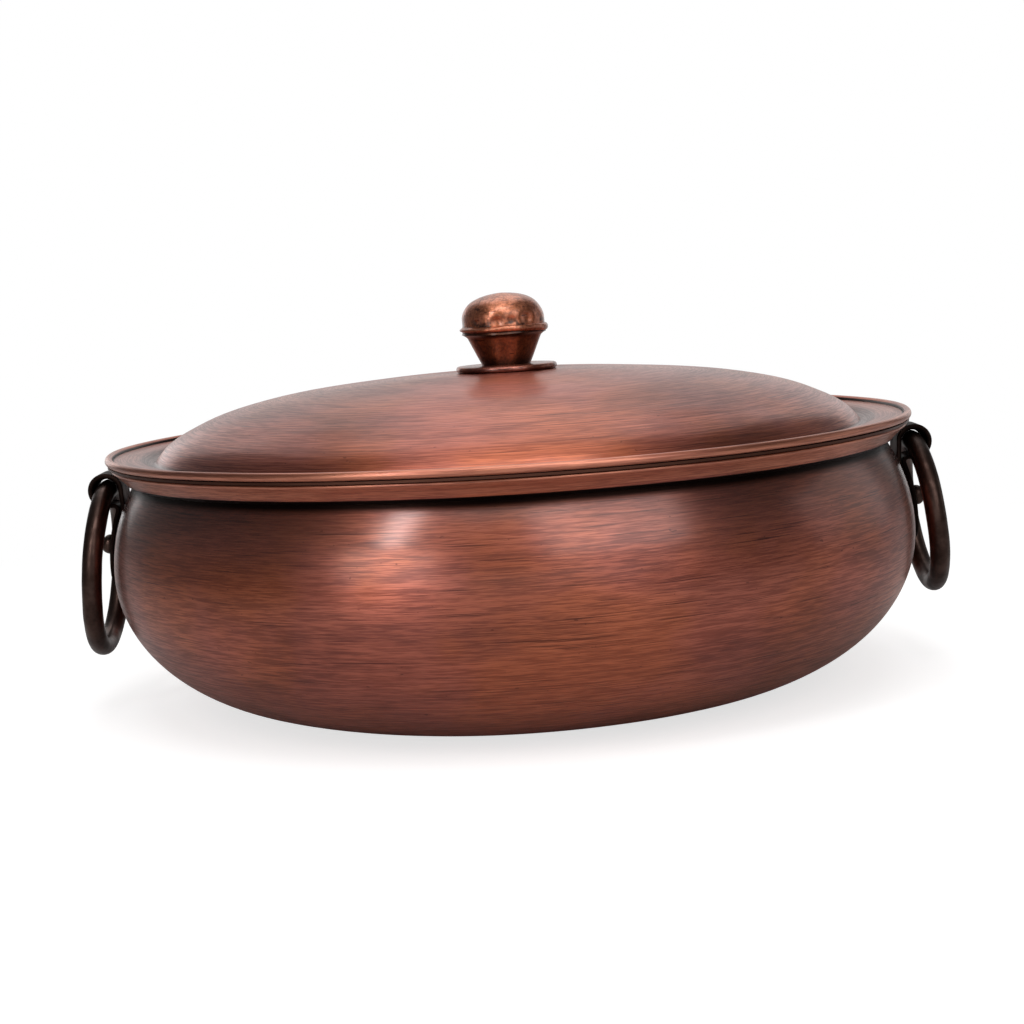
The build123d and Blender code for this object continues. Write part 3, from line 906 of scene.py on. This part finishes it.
def make_plain_metal(name, light, dark, roughness, grain, brown_band=None):
    """A satin metal with soft clouds, for handles, steel and fasteners; a band that it is given is tinted
    brown.
    """
    material, nodes, shader = start_material(name)
    clouds = nodes.spread(nodes.noise(nodes.place(), grain, detail=4.0, roughness=0.6), *METAL_CLOUDS)
    colour = nodes.tint(clouds, dark, light)
    if brown_band:
        colour = nodes.tint(place_group(nodes, BANDS, **brown_band), colour, FLANGE_BROWN)
    gloss = nodes.spread(clouds, 0, 1, roughness + METAL_GLOSS, roughness - METAL_GLOSS)
    relief = nodes.add("ShaderNodeBump", {"Height": clouds, **METAL_RELIEF}).outputs[0]
    nodes.fill(shader, {"Base Color": colour, "Roughness": gloss, "Normal": relief})
    return material


def wear(piece, material):
    """Put one material on a piece."""
    piece.data.materials.clear()
    piece.data.materials.append(material)


def make_floor():
    """A wide pale table top: lit round the dish, and plain white to the camera farther out."""
    bpy.ops.object.select_all(action="DESELECT")
    bpy.ops.mesh.primitive_circle_add(vertices=128, radius=FLOOR_RADIUS, fill_type="NGON", location=(0, 0, 0))
    floor = bpy.context.object
    floor.name = "table_top"
    material, nodes, shader = start_material("pale table", metallic=0.0)
    seen = nodes.add("ShaderNodeLightPath").outputs["Is Camera Ray"]
    away = nodes.spread(nodes.vector("LENGTH", nodes.place(), output="Value"), FLOOR_NEAR, FLOOR_FAR)
    nodes.fill(shader, {
        "Base Color": (*[FLOOR_GREY] * 3, 1),
        "Roughness": 0.9,
        "Emission Color": (1, 1, 1, 1),
        "Emission Strength": nodes.math("MULTIPLY", seen, FLOOR_LIFT),
    })
    plain = nodes.add("ShaderNodeEmission", {"Strength": 1.0})
    blend = nodes.add("ShaderNodeMixShader", {
        0: nodes.math("MULTIPLY", seen, away), 1: shader.outputs[0], 2: plain.outputs[0]})
    nodes.fill(material.node_tree.nodes["Material Output"], {"Surface": blend.outputs[0]})
    wear(floor, material)


def add_light(name, azimuth, elevation, distance, size, radiance):
    """A soft box that looks at the dish; azimuth 0 is the camera's side, 90 the right.

    Its power is four times its radiance times its area.
    """
    turn, rise = radians(azimuth), radians(elevation)
    aim = Vector(LIGHT_AIM)
    place = aim + distance * Vector((sin(turn) * cos(rise), -cos(turn) * cos(rise), sin(rise)))
    data = bpy.data.lights.new(name, "AREA")
    data.shape = "RECTANGLE"
    data.size, data.size_y = size
    data.energy = 4 * radiance * size[0] * size[1]
    light = bpy.data.objects.new(name, data)
    light.location = place
    light.rotation_euler = (aim - place).to_track_quat("-Z", "Y").to_euler()
    light.visible_camera = False
    bpy.context.scene.collection.objects.link(light)


def light_studio():
    """Plain soft studio light, and a white surround that the camera sees."""
    world = bpy.data.worlds.new("studio")
    bpy.context.scene.world = world
    world.use_nodes = True
    nodes = Nodes(world.node_tree)
    seen = nodes.add("ShaderNodeLightPath").outputs["Is Camera Ray"]
    strength = nodes.spread(seen, 0, 1, ROOM_DIM, 1.0)
    nodes.fill(world.node_tree.nodes["Background"], {"Strength": strength, "Color": (1, 1, 1, 1)})
    for name, settings in STUDIO.items():
        add_light(name, *settings)


def place_camera():
    """The photograph's view: nearly level, a little above the rim, leaning a few degrees."""
    camera_data = bpy.data.cameras.new("view")
    camera_data.lens = VIEW_LENS
    camera_data.sensor_width = VIEW_SENSOR
    camera = bpy.data.objects.new("view", camera_data)
    place = Matrix.Translation((0, -VIEW_DISTANCE, VIEW_HEIGHT))
    aim = Euler((pi / 2 - radians(VIEW_PITCH), 0, -radians(VIEW_PAN))).to_matrix().to_4x4()
    camera.matrix_world = place @ aim @ Matrix.Rotation(radians(VIEW_ROLL), 4, "Z")
    bpy.context.scene.collection.objects.link(camera)
    bpy.context.scene.camera = camera


# The pot: painted shade under the lip, oxide and painted shadow in the neck, a painted reflection on the lip
pot_copper = make_copper(
    "brushed copper", COPPER_TONES, brushing=(7.0, 740.0), patches=(1.8, 42.0),
    creases=[Crease(NECK_PAINTED_SHADE, 0.46), Crease(NECK_OXIDE_AND_SHADOW, 1.0, matt=True)],
    lacquer=(0.30, 1.0), rubbed=LIP_RUB_AND_REFLECTION)
# The lid: painted shade in the groove inside the bead and in the gutter; the bead rubbed bare
lid_copper = make_copper(
    "brushed lid copper", COPPER_TONES, brushing=(4.5, 820.0), patches=(1.5, 40.0),
    creases=[Crease(BEAD_CREASE_SHADE, 1.0, matt=True), Crease(GUTTER_SHADE, 0.72)], rubbed=BEAD_RUB)
cap_copper = make_copper(
    "planished copper", CAP_TONES, brushing=(5.0, 290.0), patches=(3.0, 170.0),
    creases=[Crease(SEAM_GRIME, 0.88, spotted=True)], lacquer=(0.7, 0.7))
# The stem is darker at its foot and just under its top
stem_copper = make_copper(
    "stem copper", STEM_TONES, brushing=(5.0, 290.0), patches=(3.0, 170.0),
    creases=[Crease(STEM_FOOT_DARKENING, 0.8), Crease(STEM_TOP_DARKENING, 0.7)], lacquer=(0.5, 0.5))
# The plate's rim is darker on its lower half: painted shade
disc_copper = make_copper(
    "knob plate copper", DISC_TONES, brushing=(4.0, 420.0), patches=(2.0, 120.0),
    creases=[Crease(PLATE_RIM_SHADE, 0.75)], lacquer=(0.7, 0.7))
handle_metal = make_plain_metal(
    "browned handles", light=(0.105, 0.064, 0.053), dark=(0.045, 0.026, 0.021), roughness=0.36, grain=90.0)
# The straps are near-black: partly their own blackened finish, partly painted shade that keeps the eye's gap
# dark
strap_black_and_shade = make_plain_metal(
    "blackened straps with painted shade", light=(0.028, 0.017, 0.014), dark=(0.012, 0.007, 0.006), roughness=0.52, grain=90.0)
pan_steel = make_plain_metal(
    "pan steel", light=(0.62, 0.60, 0.58), dark=(0.42, 0.41, 0.40), roughness=0.34, grain=60.0, brown_band=PAN_LIP)
fastener_steel = make_plain_metal(
    "fastener steel", light=(0.60, 0.60, 0.60), dark=(0.40, 0.40, 0.40), roughness=0.30, grain=400.0)

wear(make_pot(), pot_copper)
wear(make_lid(), lid_copper)
knob_disc, knob_stem, knob_bun = make_knob()
wear(knob_disc, disc_copper)
wear(knob_stem, stem_copper)
wear(knob_bun, cap_copper)
for side_name in SIDES:
    wear(make_ring(side_name), handle_metal)
    wear(make_strap(side_name), strap_black_and_shade)
    wear(make_rivet(side_name), handle_metal)

CAD_FINISH = {
    "food_pan": pan_steel,
    "lid_edge_wire": fastener_steel,
    "knob_stud": fastener_steel,
    "knob_washer": fastener_steel,
    "knob_spring_washer": fastener_steel,
    "knob_nut": fastener_steel,
    "rivet_burr_left": handle_metal,
    "rivet_burr_right": handle_metal,
}
for node_name, finish in CAD_FINISH.items():
    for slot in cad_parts[node_name].material_slots:
        slot.material = finish

make_floor()
light_studio()
place_camera()
bpy.context.scene.view_settings.view_transform = "Standard"
